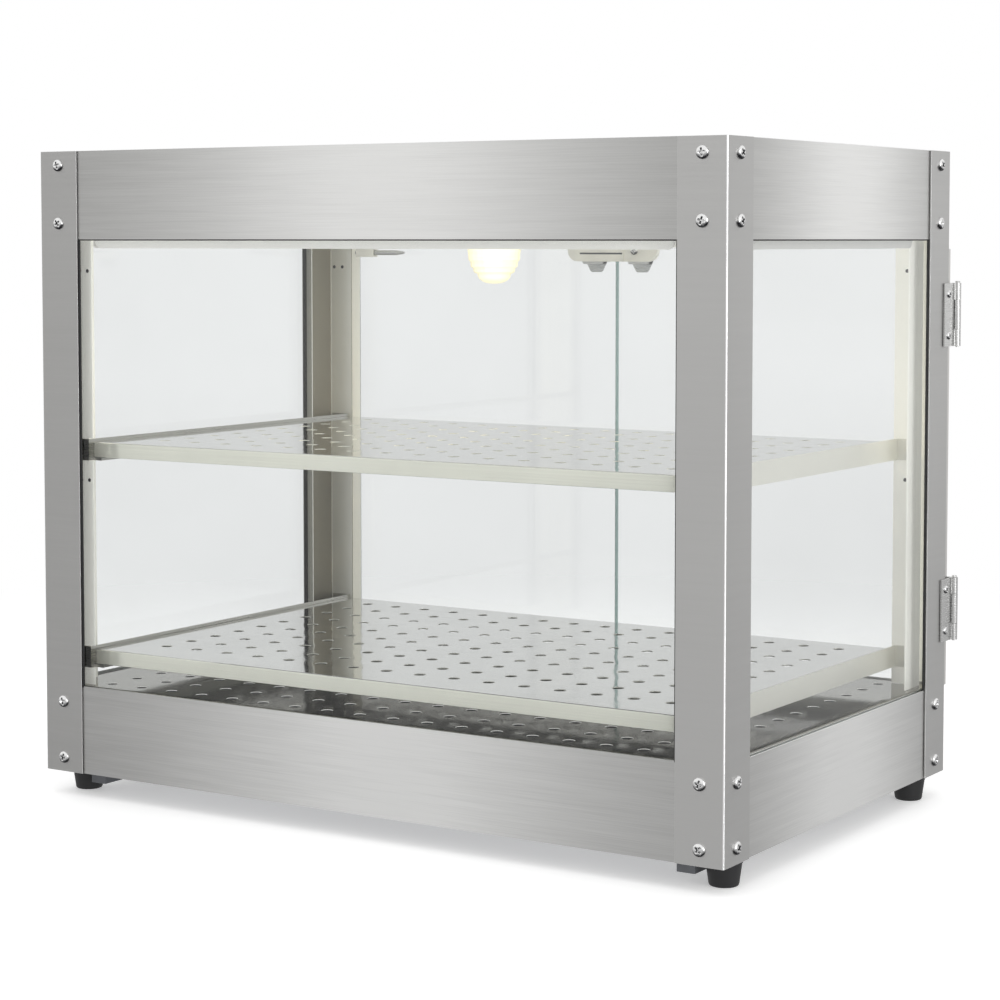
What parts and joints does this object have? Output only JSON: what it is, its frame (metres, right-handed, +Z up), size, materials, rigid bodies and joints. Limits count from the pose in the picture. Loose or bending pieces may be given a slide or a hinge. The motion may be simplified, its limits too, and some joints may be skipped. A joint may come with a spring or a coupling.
{
  "type": "heated display case",
  "caption": "Counter-top heated food display case with a steel frame, glass front and sides, hinged rear glass doors, perforated lift-out shelves and a ceiling lamp.",
  "frame": {"origin": "centre of the outline of the whole case, on the surface that the four rubber feet stand on", "axes": "+X to the right as seen from the customer's side (the width), +Y from the customer's side to the operator's rear doors (the depth), +Z up"},
  "size_m": [0.6218, 0.4, 0.512],
  "materials": {
    "brushed_steel_skin": "horizontal brushed grain, satin",
    "inner_steel": "plain formed sheet, slightly warm, satin",
    "polished_shelf_steel": "polished and perforated sheet",
    "zinc_plate": "zinc-plated sheet, dull",
    "hinge_steel": "bright stamped steel",
    "clear_glass": "clear tempered glass with a faint green edge",
    "black_rubber": "matt moulded rubber",
    "black_plastic": "fine moulded texture",
    "red_plastic": "translucent red rocker",
    "beige_plastic": "heat-proof moulded plastic",
    "lamp_glass": "warm glowing lamp glass",
    "heater_metal": "heat-darkened metal sheath"
  },
  "bodies": {
    "case": {"corner_post_front_left": "brushed_steel_skin", "inner_post_front_left": "inner_steel", "foot_front_left": "black_rubber", "corner_post_front_right": "brushed_steel_skin", "inner_post_front_right": "inner_steel", "foot_front_right": "black_rubber", "corner_post_rear_left": "brushed_steel_skin", "inner_post_rear_left": "inner_steel", "foot_rear_left": "black_rubber", "corner_post_rear_right": "brushed_steel_skin", "inner_post_rear_right": "inner_steel", "foot_rear_right": "black_rubber", "top_hood": "brushed_steel_skin", "base_skirt": "brushed_steel_skin", "ceiling_panel": "inner_steel", "base_plate": "zinc_plate", "deck_panel": "polished_shelf_steel", "glass_front": "clear_glass", "under_rail_left": "zinc_plate", "glass_left": "clear_glass", "hinge_post_leaf_upper_left": "hinge_steel", "hinge_pin_upper_left": "hinge_steel", "upper_shelf_rail_left": "inner_steel", "hinge_post_leaf_lower_left": "hinge_steel", "hinge_pin_lower_left": "hinge_steel", "lower_shelf_rail_left": "inner_steel", "under_rail_right": "zinc_plate", "glass_right": "clear_glass", "hinge_post_leaf_upper_right": "hinge_steel", "hinge_pin_upper_right": "hinge_steel", "upper_shelf_rail_right": "inner_steel", "hinge_post_leaf_lower_right": "hinge_steel", "hinge_pin_lower_right": "hinge_steel", "lower_shelf_rail_right": "inner_steel", "door_catch_body": "beige_plastic", "door_catch_magnet": "zinc_plate", "lamp_socket": "beige_plastic", "lamp_lens": "lamp_glass", "lamp_bulb": "lamp_glass", "sensor_clip": "beige_plastic", "sensor_probe": "hinge_steel", "heating_element": "heater_metal", "terminal_block": "beige_plastic", "thermostat_body": "black_plastic", "switch_body": "black_plastic", "cable_gland": "black_plastic"},
    "door_left": {"door_glass_left": "clear_glass", "door_stile_left": "brushed_steel_skin", "door_clip_left": "hinge_steel", "hinge_door_leaf_upper_left": "hinge_steel", "hinge_door_leaf_lower_left": "hinge_steel"},
    "door_right": {"door_glass_right": "clear_glass", "door_stile_right": "brushed_steel_skin", "door_clip_right": "hinge_steel", "hinge_door_leaf_upper_right": "hinge_steel", "hinge_door_leaf_lower_right": "hinge_steel"},
    "shelf_upper": {"upper_shelf": "polished_shelf_steel"},
    "shelf_lower": {"lower_shelf": "polished_shelf_steel"},
    "knob": {"thermostat_knob": "black_plastic"},
    "rocker": {"power_rocker": "red_plastic"}
  },
  "joints": [
    {"name": "door_left_swing", "type": "hinge", "parent": "case", "child": "door_left", "pos_m": [-0.308, 0.193, 0.266], "axis": [0, 0, 1], "range_deg": [0, 180]},
    {"name": "door_right_swing", "type": "hinge", "parent": "case", "child": "door_right", "pos_m": [0.308, 0.193, 0.266], "axis": [0, 0, -1], "range_deg": [0, 180]},
    {"name": "upper_shelf_lift", "type": "slide", "parent": "case", "child": "shelf_upper", "axis": [0, 0, 1], "range_m": [0, 0.05]},
    {"name": "lower_shelf_lift", "type": "slide", "parent": "case", "child": "shelf_lower", "axis": [0, 0, 1], "range_m": [0, 0.05]},
    {"name": "thermostat_turn", "type": "hinge", "parent": "case", "child": "knob", "pos_m": [0.165, 0.192, 0.054], "axis": [0, 1, 0], "range_deg": [0, 270]},
    {"name": "power_rocker_tip", "type": "hinge", "parent": "case", "child": "rocker", "pos_m": [0.105, 0.179, 0.054], "axis": [1, 0, 0], "range_deg": [-16, 0]}
  ]
}
